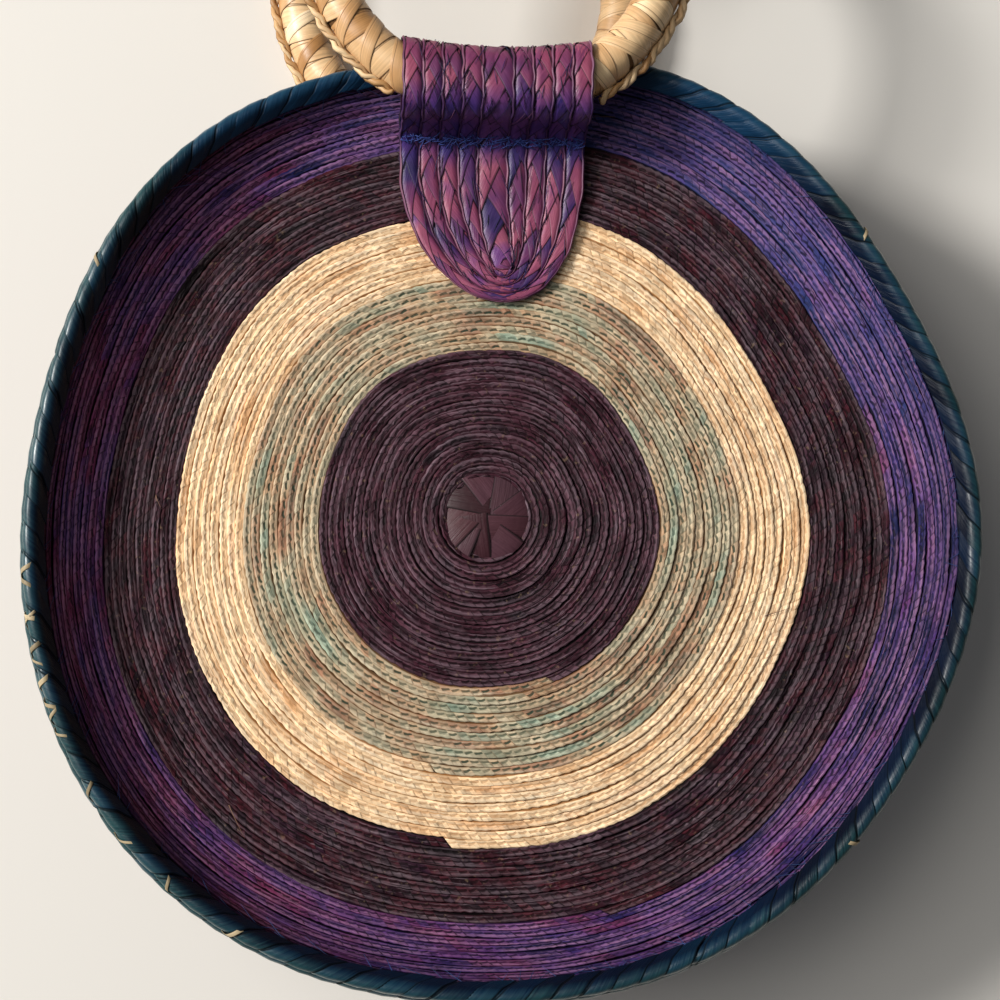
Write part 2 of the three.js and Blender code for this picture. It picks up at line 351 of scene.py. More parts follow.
def makePlaitGroup():
    # lines in a row of plait: dashes along its furrow, and painted shade in the gaps between strands and in the
    # tuck under the row before
    look = plaitLook
    n, given = newGroup("plaitLines", Along=0, Across=0)
    along, across = given["Along"], given["Across"]
    step = n.math("FLOOR", along)
    part = n.minus(n.math("FRACT", along), 0.5)
    toEnd = n.minus(0.5, n.math("ABSOLUTE", part))
    chance = n.chance(step)
    sway = n.minus(n.sway(n.times(along, 0.6), 1.0), 0.5)
    tone = n.plus(n.times(n.sway(n.times(along, 0.07), 2.5), look["toneRun"]), n.times(chance, look["toneStep"]))
    tone = n.minus(tone, look["toneLess"])
    # strands on the row's two sides lie half a step apart; each gets its own painted lightness, as if catching the
    # light in its own way
    half = n.math("GREATER_THAN", across, look["furrow"])
    cell = n.plus(n.math("FLOOR", n.plus(along, n.times(half, 0.5))), n.times(half, 0.29))
    # painted highlight on the tops of the row's two ridges, in some runs
    tops = [n.times(n.minus(1.0, n.away(across, at, reach), clamp=True), share)
            for at, reach, share in look["ridgeHighlights"]]
    run = n.sway(n.plus(n.times(along, 0.11), 71.3), 3.0)
    ridgeHighlight = n.times(n.math("MAXIMUM", *tops), n.rise(run, 0.36, 5.0))
    furrow = n.plus(n.times(part, look["furrowSlant"]), look["furrow"])
    furrow = n.plus(furrow, n.times(sway, look["furrowSway"]))
    dash = n.minus(1.0, n.away(across, furrow, look["dashReach"]), clamp=True)
    dash = n.times(n.times(dash, 1.9, clamp=True), n.times(toEnd, 9.0, clamp=True))
    dash = n.times(dash, n.plus(n.times(chance, 0.55), 0.45))
    # painted shade in the gaps at the strand ends
    near = n.minus(1.0, n.math("DIVIDE", toEnd, look["gapReach"]), clamp=True)
    some = n.minus(n.times(n.chance(n.plus(step, 0.37)), 2.0), 0.7, clamp=True)
    above = n.rise(across, look["gapFrom"], look["sharp"])
    below = n.rise(look["gapTo"], across, look["sharp"])
    gap = n.times(n.times(near, some), n.times(above, below))
    # painted shade where the row goes in under the row before
    tuckShade = n.rise(n.plus(n.times(sway, look["tuckSway"]), look["tuckTo"]), across, look["tuckSharp"])
    split = n.cloud(n.vector(n.times(along, 0.27), n.times(across, 12.0), 4.7), 1.0, 3.0, 0.65)
    return endGroup(n, Tone=tone, Facet=n.chance(cell), Ridge=ridgeHighlight, Dash=dash, Gap=gap, Tuck=tuckShade, Split=split)


leafGroup = makeLeafGroup()
dyeGroup = makeDyeGroup()
plaitGroup = makePlaitGroup()


def startMaterial(name):
    material = bpy.data.materials.new(name)
    material.use_nodes = True
    material.node_tree.nodes.clear()
    n = Nodes(material.node_tree)
    strand = n.add("UVMap", uv_map="strand").outputs[0]
    return material, n, n.axis(strand, 0), n.axis(strand, 1)


def toneRamp(n, factor, tones):
    node = n.add("ValToRGB", {0: factor})
    stops = node.color_ramp.elements
    while len(stops) < len(tones):
        stops.new(0.5)
    for i, (stop, tone) in enumerate(zip(stops, tones)):
        stop.position = i / (len(tones) - 1)
        stop.color = hexColour(tone)
    return node.outputs[0]


def brighten(n, colour, light):
    grey = n.add("CombineColor", {0: light, 1: light, 2: light}).outputs[0]
    return n.mix(1.0, colour, grey, "MULTIPLY")


def finishMaterial(n, colour, rough, height, bump, gloss, polish=None):
    normal = n.add("Bump", {"Strength": bump, "Distance": 0.0006, "Height": height}).outputs[0]
    shader = n.add("BsdfPrincipled", {"Base Color": colour, "Roughness": rough, "Normal": normal})
    shader.inputs["Specular IOR Level"].default_value = gloss
    if polish:
        n.tree.links.new(polish, shader.inputs["Coat Weight"])
        shader.inputs["Coat Roughness"].default_value = 0.29
    n.tree.links.new(shader.outputs[0], n.add("OutputMaterial").inputs[0])


def leafMaterial(name, tones, roughness=0.5, bump=0.35, fibres=9, shade="1a1018", edgeShade=0.75, patchShare=0.4,
                 fadeShare=0.5, gloss=0.4, lap=0.0, line=0.05, stainsAndShading=(), wearAndInnerShade=None):
    material, n, along, across = startMaterial(name)
    part = n.math("FRACT", along)
    given = {"Number": n.math("FLOOR", along), "Along": part, "Across": across}
    leaf = n.add("Group", {**given, "Fibres": fibres, "Lap": lap, "Line": line}, node_tree=leafGroup).outputs
    dye = n.add("Group", node_tree=dyeGroup).outputs
    pick = n.plus(n.times(leaf["Tint"], 1 - patchShare), n.times(leaf["Patch"], patchShare))
    colour = toneRamp(n, n.plus(pick, n.times(n.minus(dye["Fade"], 0.5), fadeShare)), tones)
    polish = None
    if wearAndInnerShade:
        # rubbed pale and smooth where the leaf goes over the fold, dull at its edges; painted shade darkens the
        # side inside the bag
        amount = n.minus(n.plus(0.5, leaf["Streak"]), n.away(part, wearAndInnerShade["at"], wearAndInnerShade["reach"]), clamp=True)
        amount = n.times(amount, wearAndInnerShade["share"])
        colour = n.mix(amount, colour, hexColour(wearAndInnerShade["colour"]))
        bare = n.minus(1.0, n.times(leaf["Edge"], 1.6), clamp=True)
        uneven = n.plus(0.3, n.times(leaf["Tint"], 1.3))
        polish = n.times(n.times(amount, bare), n.times(uneven, wearAndInnerShade["polish"]), clamp=True)
        innerShade = n.rise(wearAndInnerShade["innerShadeTo"], part, 7.0)
        colour = n.mix(n.times(innerShade, wearAndInnerShade["innerShadeShare"]), colour, hexColour(wearAndInnerShade["dark"]))
    for stainAndShading in stainsAndShading:
        # a band of other colour across the piece, at one place along the bag: painted light on the binding's top,
        # partly dye and partly painted light and shade on the tab
        off = n.away(n.axis(n.place(), 1), stainAndShading["y"], stainAndShading["reach"])
        amount = n.times(n.minus(n.plus(0.75, dye["Fade"]), off, clamp=True), stainAndShading["share"])
        colour = n.mix(amount, colour, hexColour(stainAndShading["colour"]))
    colour = brighten(n, colour, n.plus(0.55, n.times(leaf["Streak"], 0.9)))
    # painted shade: dark lines along the strand edges, where the next strand lies over and at the free side
    colour = n.mix(n.times(leaf["Edge"], edgeShade), colour, hexColour(shade))
    rough = n.plus(n.plus(roughness - 0.15, n.times(leaf["Streak"], 0.3)), n.times(leaf["Edge"], 0.4))
    height = n.plus(leaf["Height"], n.times(dye["Speck"], 0.3))
    finishMaterial(n, colour, rough, height, bump, gloss, polish)
    return material


def rowMaterial(name, band):
    material, n, along, across = startMaterial(name)
    plait = n.add("Group", {"Along": along, "Across": across}, node_tree=plaitGroup).outputs
    given = {"Along": n.times(along, 0.35), "Across": across, "Fibres": 17}
    leaf = n.add("Group", given, node_tree=leafGroup).outputs
    dye = n.add("Group", node_tree=dyeGroup).outputs
    pick = n.plus(plait["Tone"], n.times(n.minus(dye["Fade"], 0.5), 0.5))
    if "sideways" in band:
        # the dye changes from one side of the bag to the other
        pick = n.plus(pick, n.times(n.axis(n.place(), 0), band["sideways"]))
    colour = toneRamp(n, pick, band["tones"])
    light = n.plus(0.25, n.times(leaf["Streak"], 1.5))
    colour = brighten(n, colour, n.times(light, n.plus(0.72, n.times(plait["Facet"], 0.56))))
    if "bluerAndLit" in band:
        # a lighter blue toward the top right of the bag, partly another dye and partly painted light
        inputs = {0: n.place(), 1: (0.6, 1, 0)}
        toward = n.add("VectorMath", inputs, operation="DOT_PRODUCT").outputs["Value"]
        amount = n.rise(toward, 0.09, 10.0)
        colour = n.mix(n.times(amount, band["bluerAndLit"]), colour, hexColour("4e60a4"))
    # pale runs, partly split leaf and partly painted highlight, dark runs of split leaf, painted highlight on the
    # ridges, then the row's lines and small marks
    split = plait["Split"]
    paleSheen = n.rise(split, 0.56, 8.0)
    murk = n.rise(0.45, split, 8.0)
    fleck = n.rise(dye["Speck"], 0.65, 9.0)
    for amount, share, tint in (
            (paleSheen, "runs", band["paleSheen"]), (plait["Ridge"], "ridgeHighlights", band["paleSheen"]), (murk, "murk", band["line"]),
            (plait["Dash"], "lines", band["line"]), (fleck, "flecks", "a08468")):
        colour = n.mix(n.times(amount, band[share]), colour, hexColour(tint))
    if "rimFrom" in band:
        # the last rows are darker near the rim, partly the binding's dye and partly painted shade, redder on the
        # left
        place = n.place()
        flat = n.add("VectorMath", {0: place, 1: (1, 1, 0)}, operation="MULTIPLY").outputs[0]
        out = n.add("VectorMath", {0: flat}, operation="LENGTH").outputs["Value"]
        amount = n.rise(out, band["rimFrom"], 60.0)
        left = n.times(n.axis(place, 0), -9.0, clamp=True)
        stainAndShading = n.mix(left, hexColour("0a1030"), hexColour("2a0812"))
        colour = n.mix(n.times(amount, 0.7), colour, stainAndShading)
    # painted shade in the gaps between strands and along the tuck under the row before
    dark = n.math("MAXIMUM", n.times(plait["Gap"], band["gaps"]), n.times(plait["Tuck"], 0.9))
    colour = n.mix(dark, colour, hexColour(band["shade"]))
    rough = n.plus(0.45, n.times(leaf["Streak"], 0.3))
    height = n.plus(n.plus(leaf["Streak"], split), n.times(dye["Speck"], 0.6))
    height = n.minus(height, n.times(n.plus(plait["Dash"], plait["Gap"]), 0.7))
    finishMaterial(n, colour, rough, height, 0.6, 0.12)
    return material


# coiled panels: one long plait wound outward, each turn's outer side over the next turn
coil = dict(
    turns=56.0,           # rows of plait from the middle to the edge
    firstTurn=3.9,        # the knot in the middle covers the turns before this one
    startAngle=90,        # degrees, where the coil starts
    strand=0.0041,        # length of one strand's step along the plait
    pitch=0.00364,        # width of a row that shows
    section=(             # across in row widths, height, then how far both drop between two strands, height first
        (-0.40, -0.00055, 0, 0), (0.00, -0.00010, 0.00002, 0), (0.25, 0.00036, 0.00009, 0.04),
        (0.44, 0.00016, 0.00002, 0.06), (0.70, 0.00070, 0.00010, 0.04), (0.95, 0.00070, 0.00011, 0.07),
        (1.02, 0.00025, 0.00006, 0.07), (0.90, -0.00018, 0, 0.03), (-0.40, -0.00130, 0, 0)),
    uneven=(0.1, 1.9), seed=3,
    lean=-0.8,            # strands slant by this much of a step across the row
    wander=0.055,         # uneven rows, in row widths
    wanders=((1, 0.083, 0), (1, 0.29, 0.8), (0.6, 0.71, 0)),       # share, rate, start
    wavers=((0.00025, 0.071, 0), (0.00018, 0.193, 1.3)),           # height, rate, start
    crowd=0.0243, crowdFrom=0.81,  # rows lie closer near the rim of the mouth
    drift=(               # share of the way out, and how far that turn's middle is off the bag's, x and y
        (0, -0.0056, 0.0008), (0.351, -0.0060, -0.0009), (0.653, -0.0044, -0.0023),
        (0.809, -0.0022, -0.0042), (1, 0, 0)),
)
coilLength = coil["turns"] * coil["pitch"]
coilSides = dict(
    front=dict(surface=frontSurface, wallLength=0.2030, out=1, coarse=1.0, raised=0.0007, relief=1.0),
    back=dict(surface=backSurface, wallLength=0.2244, out=-1, coarse=1.6, raised=0.0004, relief=0.7))
# in each band, shade is the colour of painted shade and paleSheen the colour of pale runs and painted highlight
bands = dict(             # turn where each dyed band ends, tones, colours, shares of what lies over the tones
    plum=dict(last=19.444, tones=("180a12", "351622", "46242f", "291019", "3d1b27", "51323d"),
              shade="020001", line="050204", paleSheen="98828e",
              lines=0.85, gaps=0.9, runs=0.42, murk=0.8, ridgeHighlights=0.32, flecks=0.25),
    sage=dict(last=28.536, tones=("96a692", "a09a80", "bead90", "b69676", "a67a60", "7e6452"),
              shade="5c3e22", line="243a2e", paleSheen="e0d6bc",
              lines=0.95, gaps=0.5, runs=0.45, murk=0.35, ridgeHighlights=0.4, flecks=0.1),
    natural=dict(last=36.522, tones=("d9a676", "e9be90", "f3d0a4", "f8dab2", "f0c8a0"),
                 shade="94602f", line="a06a3e", paleSheen="fff0d4",
                 lines=0.6, gaps=0.55, runs=0.45, murk=0.35, ridgeHighlights=0.35, flecks=0.05),
    dark=dict(last=45.458, tones=("12070c", "36121b", "200f1a", "421720", "281322", "422833"),
              shade="020001", line="040203", paleSheen="928089",
              lines=0.85, gaps=0.9, runs=0.42, murk=0.8, ridgeHighlights=0.34, flecks=0.25),
    purple=dict(last=55.85, tones=("141742", "281f54", "432c64", "502d60", "5c2a52", "662a4a"),
                shade="03020a", line="0a0818", paleSheen="b886ac",
                lines=0.9, gaps=0.9, runs=0.5, murk=0.9, ridgeHighlights=0.42, flecks=0.1,
                sideways=-1.4, rimFrom=0.181, bluerAndLit=0.32),
)


def drifted(share, angle):
    stops = np.array(coil["drift"])
    x = share * coilLength * np.cos(angle) + np.interp(share, stops[:, 0], stops[:, 1])
    y = share * coilLength * np.sin(angle) + np.interp(share, stops[:, 0], stops[:, 2])
    return np.hypot(x, y) / coilLength, np.arctan2(y, x)


def coilBand(panel, label, firstTurn):
    side, band = coilSides[panel], bands[label]
    name = panel + "_" + label
    step = coil["strand"] * side["coarse"]
    first = math.pi * coil["pitch"] * firstTurn ** 2 / step
    last = math.pi * coil["pitch"] * band["last"] ** 2 / step
    strands = int(round(last - first))
    section = np.array(coil["section"])
    mesh, u, v = gridMesh(name, strands * 2, len(section))
    column = np.rint(u * strands * 2).astype(int)
    across, lift, dip, notch = section[np.rint(v * len(section)).astype(int) % len(section)].T
    uneven = np.random.default_rng(coil["seed"]).uniform(*coil["uneven"], strands * 2 + 1)[column]
    between = column % 2 == 0
    lift = lift - np.where(between, dip * uneven, 0)
    across = across - np.where(between, notch * uneven, 0)
    count = first + column / 2 + coil["lean"] * across
    across = across + coil["wander"] * waves(coil["wanders"], count)
    turn = np.sqrt(np.maximum(count, 0.02) * step / (math.pi * coil["pitch"]))
    angle = math.radians(coil["startAngle"]) - 2 * np.pi * turn * side["out"]
    share, angle = drifted((turn + across) / coil["turns"], angle)
    closer = np.clip((share - coil["crowdFrom"]) / (1 - coil["crowdFrom"]), 0, 1)
    share = share * (1 + coil["crowd"] * mouthWeight(angle) * (1 - closer))
    lift = ((lift + waves(coil["wavers"], count)) * side["relief"] + side["raised"]) * side["out"]
    points = onPanel(side["surface"], np.clip(share, 0.0004, 1.0), angle, lift)
    placeMesh(mesh, points, column / 2 + 0.0001, v)
    finishPiece(name, mesh, band["finish"], panel + "_panel", closed=True, weld=1e-7)
    return math.sqrt((first + strands) * step / (math.pi * coil["pitch"]))  # where the next band starts


for label, band in bands.items():
    band["finish"] = rowMaterial(label + "Plait", band)
for panel in coilSides:
    turn = coil["firstTurn"]
    for label in bands:
        turn = coilBand(panel, label, turn)
print("coiled panels done")


# knot in the middle of the coil: flat leaf ends laid in a pinwheel, each under the edge of the next
knot = dict(blades=9, radius=0.0190, width=0.0170, past=0.0008, lift=0.0021, step=0.0011, tilt=0.0006, off=0.0006,
            drop=0.0026, spread=(0.45, 1.55), tones=("2e151b", "3e1e26", "4e303a", "44242a", "54404a"), seed=18)


def makeKnot(panel):
    side = coilSides[panel]
    rng = np.random.default_rng(knot["seed"])
    count = knot["blades"]
    mesh, number, u, v = manyGrids(panel + "_knot", count, 10, 5)
    start = np.cumsum(rng.uniform(*knot["spread"], count))
    start = start * 2 * np.pi / start[-1]
    tilt = rng.normal(0, knot["tilt"], count)
    off = rng.normal(0, knot["off"], count)
    q = v * knot["width"]
    p = -knot["past"] + (np.sqrt(knot["radius"] ** 2 - q ** 2) + knot["past"]) * u
    q = q + off[number]
    r = np.hypot(p, q)
    angle = start[number] + np.arctan2(q, p)
    lift = knot["lift"] + knot["step"] * (1 - v) - knot["drop"] * (r / knot["radius"]) ** 3
    lift = (lift + tilt[number] * (u - 0.5)) * side["out"] * side["relief"] ** 3
    share, angle = drifted(r / coilLength, -angle * side["out"])
    placeMesh(mesh, onPanel(side["surface"], share, angle, lift), inStrand(number, u), 1 - v)
    finishPiece(panel + "_knot", mesh, knotLeaf, panel + "_panel", flip=True, thick=0.0003)


knotLeaf = leafMaterial("knotLeaf", knot["tones"], roughness=0.48, bump=0.6, fibres=22, shade="060304", edgeShade=0.95,
                        patchShare=0.1, gloss=0.28)
makeKnot("front")
makeKnot("back")
print("knots done")


# bindings: a leaf strip folded over each rim, its blades slanting over the fold
fold = dict(half=0.0023, grip=0.0005, inner=0.0048, outer=0.0078, blades=104, slant=1.28, width=0.0152,
            low=0.0001, step=0.00080, crown=0.00070, thick=0.00022, wander=0.0012, seed=5,
            widthSpread=0.04, innerSpread=0.0005, coreIn=0.001, coreLow=0.0001, coreThick=0.0006,
            tones=("020a1a", "031229", "051c3a", "08294a", "0d3852"))


def onFold(panel, angle, way, height):
    # way runs over the fold from its nose, minus on the side that faces up
    side, half = coilSides[panel], fold["half"]
    back = np.maximum(np.abs(way) - half * np.pi / 2, 0)
    turn = np.clip(way / half, -np.pi / 2, np.pi / 2)
    r, z, slope = side["surface"](1 - back / side["wallLength"], angle)
    along = (half + fold["grip"] + height) * np.cos(turn)
    across = -(half + height) * np.sin(turn)
    r = r + along * np.cos(slope) - across * np.sin(slope)
    z = z + along * np.sin(slope) + across * np.cos(slope)
    return np.stack((r * np.cos(angle), r * np.sin(angle), z), axis=-1)


def makeBinding(panel):
    rng = np.random.default_rng(fold["seed"] + len(panel))
    quarter = fold["half"] * np.pi / 2
    count = fold["blades"]
    name, node = panel + "_binding_core", panel + "_binding"
    core, u, v = gridMesh(name, 240, 10)
    way = -quarter - fold["inner"] + fold["coreIn"]
    way = way + (2 * quarter + fold["inner"] + fold["outer"] - 2 * fold["coreIn"]) * v
    placeMesh(core, onFold(panel, u * 2 * np.pi, way, -fold["coreLow"]), u * 120, v)
    finishPiece(name, core, bindingLeaf, node, flip=True, thick=fold["coreThick"], weld=1e-6)
    name = panel + "_binding_blades"
    mesh, number, u, v = manyGrids(name, count, 24, 3)
    start = np.arange(count) * 2 * np.pi / count + rng.normal(0, fold["wander"] / bag["rim"], count)
    width = fold["width"] * (1 + rng.normal(0, fold["widthSpread"], count))
    inner = fold["inner"] + rng.normal(0, fold["innerSpread"], count)
    way = -quarter - inner[number] + (2 * quarter + inner[number] + fold["outer"]) * u
    angle = start[number] + (-way * fold["slant"] + (v - 0.5) * width[number]) / bag["rim"]
    height = fold["low"] + fold["step"] * v + fold["crown"] * arch(v)
    placeMesh(mesh, onFold(panel, angle, way, height), inStrand(number, u), v)
    finishPiece(name, mesh, bindingLeaf, node, thick=fold["thick"])


# the binding's stain is a painted pool of light on the top of the bag
bindingLeaf = leafMaterial(
    "bindingLeaf", fold["tones"], roughness=0.42, bump=0.8, fibres=20, shade="01060c", edgeShade=0.95, patchShare=0.35,
    fadeShare=0.8, gloss=0.16, lap=0.21, line=0.055,
    stainsAndShading=(dict(y=0.180, reach=0.040, share=0.45, colour="164468"),),
    # painted shade darkens the inner side of the fold
    wearAndInnerShade=dict(at=0.54, reach=0.30, share=0.95, colour="22484a", polish=0.9,
              dark="020714", innerShadeTo=0.40, innerShadeShare=0.72))
makeBinding("front")
makeBinding("back")
print("bindings done")


# ring handles: rolled straw wrapped with broad leaf, other leaf crossing it, a twisted cord along the outer side
ring = dict(
    radius=0.074, tube=0.0095, y=0.247, seed=21, coreLow=0.0008, crown=0.00010, gap=0.17,
    spread=dict(start=0.010, turn=0.18, width=0.07), cordSpread=dict(place=0.15, height=0.0002, thick=0.13),
    wrap=dict(count=54, width=0.0108, helix=0.0086, low=-0.0006, step=0.00045),
    crossing=dict(count=36, width=0.0062, helix=-0.021, low=-0.00005, step=0.00008),
    cordAt=0.0851, cordFree=31, cordTurn=0.0165, cordStrands=3, cordOff=0.0011, cordThick=0.00120,
    cordWaves=((0.0004, 41, 0), (0.0003, 97, 1)),  # height, rate, start
    pressed=0.0024, pressedTo=0.52, pressedOver=0.12,  # the tab squeezes the ring inside its roll
    tones=("a0713f", "bf9262", "d6b082", "e6c99e", "f2dfc0"), coreShadeTones=("3c2612", "5a3e22", "785634"),
    cordTones=("8a6038", "b08656", "c8a274", "dcc096", "a07244"))
rings = dict(front=dict(out=1, x=-0.004, z=0.0915, tilt=0), back=dict(out=-1, x=-0.0135, z=0.0114, tilt=-1.3))


def onRing(panel, theta, psi, rho):
    spec = rings[panel]
    reach = ring["radius"] + rho * np.cos(psi)
    x, y, z = reach * np.cos(theta), reach * np.sin(theta), rho * np.sin(psi)
    c, s = math.cos(math.radians(spec["tilt"])), math.sin(math.radians(spec["tilt"]))
    return np.stack((spec["x"] + x, ring["y"] + y * c - z * s, spec["z"] + y * s + z * c), axis=-1)


def tubeRadius(theta):
    away = np.abs((theta + np.pi / 2 + np.pi) % (2 * np.pi) - np.pi)
    return ring["tube"] - ring["pressed"] * np.clip((ring["pressedTo"] - away) / ring["pressedOver"], 0, 1)


def wrapRing(panel, label, rng):
    wrap, spread = ring[label], ring["spread"]
    name, count = panel + "_handle_" + label, wrap["count"]
    mesh, number, u, v = manyGrids(name, count, 22, 4)
    start = np.arange(count) * 2 * np.pi / count + rng.normal(0, spread["start"], count)
    turned = wrap["helix"] * (1 + rng.normal(0, spread["turn"], count))
    width = wrap["width"] * (1 + rng.normal(0, spread["width"], count))
    # the leaf is pulled narrow where it goes under the cord
    narrow = 1 - ring["gap"] * np.clip(np.cos(2 * np.pi * u), 0, 1) ** 3
    theta = start[number] + (turned[number] * (u - 0.5) + (v - 0.5) * width[number] * narrow) / ring["radius"]
    rho = tubeRadius(theta) + wrap["low"] + wrap["step"] * v + ring["crown"] * arch(v)
    placeMesh(mesh, onRing(panel, theta, 2 * np.pi * u, rho), inStrand(number, u), v)
    finishPiece(name, mesh, handleLeaf, panel + "_handle", flip=True, thick=0.00025)


def makeHandle(panel):
    rng = np.random.default_rng(ring["seed"] + len(panel))
    name = panel + "_handle_core"
    # the core straw is painted dark, partly its own colour and partly painted shade showing in the gaps between
    # the wraps
    core, u, v = gridMesh(name, 150, 16)
    rho = tubeRadius(u * 2 * np.pi) - ring["coreLow"]
    placeMesh(core, onRing(panel, u * 2 * np.pi, v * 2 * np.pi, rho), u * 50, v)
    finishPiece(name, core, shadedCoreStraw, panel + "_handle", closed=True, weld=1e-6)
    wrapRing(panel, "wrap", rng)
    wrapRing(panel, "crossing", rng)
    # the cord: short lengths of leaf twisted together, each thin where it is tucked in
    name, spread = panel + "_handle_cord", ring["cordSpread"]
    step = ring["cordTurn"] / ring["cordAt"] / ring["cordStrands"]
    first, last = math.radians(ring["cordFree"] - 90), math.radians(270 - ring["cordFree"])
    middle = np.arange(first, last, step)
    count = len(middle)
    t = np.linspace(-1.15, 1.15, 15)[None, :] * np.pi
    swing = t + np.pi / 4
    arc = (middle + rng.normal(0, step * spread["place"], count))[:, None] + t / np.pi * step * 1.5
    arc = np.clip(arc, first, last)
    wobble = waves(ring["cordWaves"], arc) + rng.normal(0, spread["height"], count)[:, None]
    paths = onRing(panel, arc, 0, ring["cordAt"] - ring["radius"] + ring["cordOff"] * np.cos(swing) + wobble)
    paths[..., 2] += ring["cordOff"] * np.sin(swing)
    thick = ring["cordThick"] * (0.45 + 0.6 * np.cos(t / 2.4))
    thick = thick * (1 + rng.normal(0, spread["thick"], count))[:, None]
    finishTubes(name, paths, thick, 7, cordStraw, panel + "_handle_braid")


handleLeaf = leafMaterial(
    "handleLeaf", ring["tones"], roughness=0.4, bump=0.3, fibres=16, shade="5a3a1c", edgeShade=0.8, patchShare=0.3,
    fadeShare=0.95, gloss=0.5, lap=0.2, line=0.035)
shadedCoreStraw = leafMaterial("shadedCoreStraw", ring["coreShadeTones"], roughness=0.7, edgeShade=0.2, gloss=0.2)
cordStraw = leafMaterial("cordStraw", ring["cordTones"], bump=0.6, shade="4a3018", edgeShade=0.5, patchShare=0.2)
makeHandle("front")
makeHandle("back")
print("handles done")


# tabs: a strap of plaited columns laid round each ring, the rows bending round the free end
tab = dict(
    halfWidth=0.0396, tipY=0.0915, bendY=0.151, tipPitch=0.42, tipLength=0.062, tipTurn=1.12, roundness=2.05,
    tipSkew=0.005, middlePower=0.28,
    course=(              # y, lift over the panel's face, or offset out from the ring's middle, front and back
        (0.092, 0.0021, 0, 0), (0.108, 0.0021, 0, 0), (0.122, 0.0021, 0, 0), (0.136, 0.0025, 0, 0),
        (0.147, 0.0044, 0, 0), (0.156, 0.0056, 0, 0), (0.1612, 0, -0.016, -0.0025), (0.1637, 0, -0.007, 0.0015),
        (0.1645, 0, 0.003, 0.005), (0.1688, 0, 0.0099, 0.0099), (0.176, 0, 0.0113, 0.0113),
        (0.187, 0, 0.0112, 0.0112), (0.1946, 0, 0.008, 0.008), (0.1974, 0, 0, 0), (0.1946, 0, -0.008, -0.008),
        (0.187, 0, -0.0114, -0.0114), (0.178, 0, -0.0132, -0.013), (0.170, 0, -0.0175, -0.013),
        (0.163, 0, -0.023, -0.011), (0.1575, 0.0023, 0, 0), (0.152, 0.0021, 0, 0)),
    column=0.00415,       # half width of a usual column
    columns=(             # middle and half width of the columns on one side
        (0, 0.0064), (0.0106, 0.00415), (0.0189, 0.00415), (0.0272, 0.00415), (0.0354, 0.00415)),
    pitch=0.0074, bladeWidth=0.0152, bladeTurn=27, slope=0.030, low=0.0006, crown=0.00010, groove=0.0009,
    ridgeWidth=0.0013, ridgeHeight=0.0011, seed=31,
    sag=0.0036, sagFrom=0.170, sagOver=0.025,
    bladeSpread=dict(place=0.0006, width=0.06, turn=3),
    fibres=190, fibreThick=0.00016, fibreHalf=0.0388, fibreLift=0.0010,
    fibreSlant=(4, 30), fibreLong=(0.005, 0.015),
    seamY=0.1600, stitches=150, stitchThick=0.00017, stitchHalf=0.0392, stitchLift=0.0012,
    stitchAcross=(0.0005, 0.0040), stitchAlong=(-0.003, 0.0062), stitchOff=0.0013,
    tones=("1c1646", "38245a", "62305c", "843e5c", "985068", "6a3c78"),
    shadeTones=("0c0716", "1c1028", "24142e"),
    ridgeTones=("34193a", "5e304c", "7c4e64", "684260"),
    fibreTones=("080514", "0f0c2c", "1c1a50", "3a1838", "6a4060"),
    seamTones=("1c2c6a", "2f4288", "4658a4"),
)


def smoothLine(points, samples):
    knots = np.concatenate(([0], np.cumsum(np.linalg.norm(np.diff(points, axis=0), axis=1) ** 0.5)))
    slopes = np.gradient(points, knots, axis=0)
    t = np.linspace(0, knots[-1], samples)
    i = np.clip(np.searchsorted(knots, t, side="right") - 1, 0, len(knots) - 2)
    span = (knots[i + 1] - knots[i])[:, None]
    f = (t - knots[i])[:, None] / span
    first, last = slopes[i] * span, slopes[i + 1] * span
    return ((2 * f ** 3 - 3 * f ** 2 + 1) * points[i] + (f ** 3 - 2 * f ** 2 + f) * first
            + (3 * f ** 2 - 2 * f ** 3) * points[i + 1] + (f ** 3 - f ** 2) * last)


def tabCourse(panel):
    spec = rings[panel]
    face = frontFace if panel == "front" else backFace
    rollZ = spec["z"] - ring["radius"] * math.sin(math.radians(spec["tilt"]))
    small = 0.001         # keeps the third column out of the spacing along the line
    stations = []
    for y, lift, front, back in tab["course"]:
        onFace = lift > 0
        offset = front if panel == "front" else back
        z = face(spec["x"], y) + spec["out"] * lift if onFace else rollZ + spec["out"] * offset
        stations.append((y, float(z), small if onFace else 0))
    line = smoothLine(np.array(stations), 900)
    way = np.concatenate(([0], np.cumsum(np.hypot(np.diff(line[:, 0]), np.diff(line[:, 1])))))
    bend = int(np.argmax(line[:, 0] >= tab["bendY"]))
    return dict(spec=spec, face=face, y=line[:, 0], z=line[:, 1], follow=line[:, 2] / small, way=way,
                bend=way[bend], length=way[-1] - way[bend])


